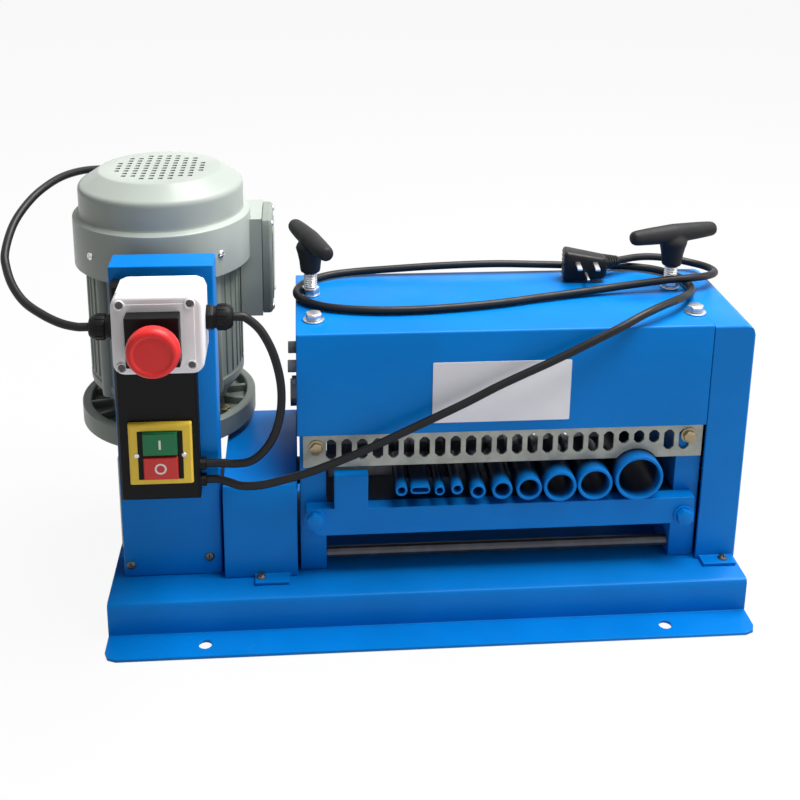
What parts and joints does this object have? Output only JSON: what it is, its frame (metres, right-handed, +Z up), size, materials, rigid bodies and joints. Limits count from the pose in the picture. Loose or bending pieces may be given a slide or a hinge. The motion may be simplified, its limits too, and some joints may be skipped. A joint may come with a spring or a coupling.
{
  "type": "wire stripping machine",
  "caption": "Bench machine that slits cable insulation: motor, worm gearbox, grooved feed roller and round blades behind a row of guides, with T-handled depth screws.",
  "frame": {"origin": "middle of the footprint, on the bench that the base stands on", "axes": "+X along the machine from the motor to the gear cover, +Y from the front to the back, +Z up"},
  "size_m": [0.6329, 0.3208, 0.368],
  "materials": {
    "blue_paint": "glossy blue enamel on steel",
    "motor_paint": "grey-green enamel on aluminium castings and sheet",
    "zinc": "dull zinc plated sheet",
    "steel": "turned bright steel",
    "tool_steel": "ground hardened steel",
    "cast_iron": "dark machined iron",
    "bronze": "cast bronze",
    "black_plastic": "matt black moulding",
    "black_rubber": "smooth black cord jacket",
    "pale_plastic": "pale grey moulding",
    "yellow_plastic": "yellow moulding",
    "red_plastic": "red moulding",
    "green_plastic": "green moulding"
  },
  "bodies": {
    "root": {"base_plate": "blue_paint", "control_column": "blue_paint", "switch_box": "black_plastic", "switch_bezel": "yellow_plastic", "estop_box": "pale_plastic", "estop_lid": "pale_plastic", "estop_collar": "black_plastic", "left_gland": "black_plastic", "right_gland": "black_plastic", "motor_gland": "black_plastic", "drive_cover": "blue_paint", "gearbox_housing": "motor_paint", "motor_flange": "motor_paint", "motor_housing": "motor_paint", "fan_cowl": "motor_paint", "terminal_box": "motor_paint", "terminal_lid": "motor_paint", "left_side_plate": "blue_paint", "right_side_plate": "blue_paint", "head_cover": "blue_paint", "gear_cover": "blue_paint", "left_pressure_cap": "steel", "right_pressure_cap": "steel", "left_lower_bearing": "steel", "right_lower_bearing": "steel", "guard_grille": "zinc", "front_bar": "blue_paint", "guide_strip": "blue_paint", "guide_tube_1": "blue_paint", "guide_tube_2": "blue_paint", "guide_tube_3": "blue_paint", "guide_tube_4": "blue_paint", "guide_tube_5": "blue_paint", "guide_tube_6": "blue_paint", "tie_rod": "steel", "motor_cord": "black_rubber", "switch_cord": "black_rubber", "mains_lead": "black_rubber", "mains_plug": "black_rubber"},
    "feed": {"feed_roller": "tool_steel", "drive_coupling": "steel", "worm_wheel": "bronze", "lower_gear": "cast_iron"},
    "rotor": {"rotor_shaft": "steel", "cooling_fan": "black_plastic"},
    "carriage": {"left_bearing_block": "cast_iron", "right_bearing_block": "cast_iron"},
    "blades": {"blade_shaft": "steel", "blade_pack": "tool_steel", "upper_gear": "cast_iron"},
    "left_screw": {"left_screw": "steel", "left_t_handle": "black_plastic"},
    "right_screw": {"right_screw": "steel", "right_t_handle": "black_plastic"},
    "stop_stem": {"estop_stem": "black_plastic"},
    "stop_head": {"estop_mushroom": "red_plastic"},
    "on_button": {"on_button": "green_plastic"},
    "off_button": {"off_button": "red_plastic"}
  },
  "joints": [
    {"name": "motor_spin", "type": "hinge", "parent": "root", "child": "rotor", "pos_m": [-0.21475, 0.063, 0.0835], "axis": [0, 0, 1], "continuous": true},
    {"name": "feed_spin", "type": "hinge", "parent": "root", "child": "feed", "pos_m": [-0.12975, 0.023, 0.0835], "axis": [1, 0, 0], "continuous": true},
    {"name": "blade_lift", "type": "slide", "parent": "root", "child": "carriage", "axis": [0, 0, 1], "range_m": [0, 0.006]},
    {"name": "blade_spin", "type": "hinge", "parent": "carriage", "child": "blades", "pos_m": [-0.09525, 0.023, 0.1635], "axis": [1, 0, 0], "continuous": true},
    {"name": "left_screw_turn", "type": "hinge", "parent": "carriage", "child": "left_screw", "pos_m": [-0.0819, 0.023, 0.1838], "axis": [0, 0, 1], "range_deg": [0, 1080]},
    {"name": "right_screw_turn", "type": "hinge", "parent": "carriage", "child": "right_screw", "pos_m": [0.2466, 0.023, 0.1838], "axis": [0, 0, 1], "range_deg": [0, 1080]},
    {"name": "stop_push", "type": "slide", "parent": "root", "child": "stop_stem", "axis": [0, 1, 0], "range_m": [0, 0.005]},
    {"name": "stop_twist", "type": "hinge", "parent": "stop_stem", "child": "stop_head", "pos_m": [-0.20025, -0.153, 0.284], "axis": [0, 1, 0], "range_deg": [0, 40], "stiffness_Nm_per_rad": 0.05},
    {"name": "on_push", "type": "slide", "parent": "root", "child": "on_button", "axis": [0, 1, 0], "range_m": [0, 0.0025], "stiffness_N_per_m": 400},
    {"name": "off_push", "type": "slide", "parent": "root", "child": "off_button", "axis": [0, 1, 0], "range_m": [0, 0.0025], "stiffness_N_per_m": 400}
  ],
  "couplings": [
    {"joint": "feed_spin", "follows": "motor_spin", "ratio": -0.033333},
    {"joint": "blade_spin", "follows": "motor_spin", "ratio": 0.033333},
    {"joint": "left_screw_turn", "follows": "blade_lift", "rad_per_m": 3141.6},
    {"joint": "right_screw_turn", "follows": "blade_lift", "rad_per_m": 3141.6}
  ]
}
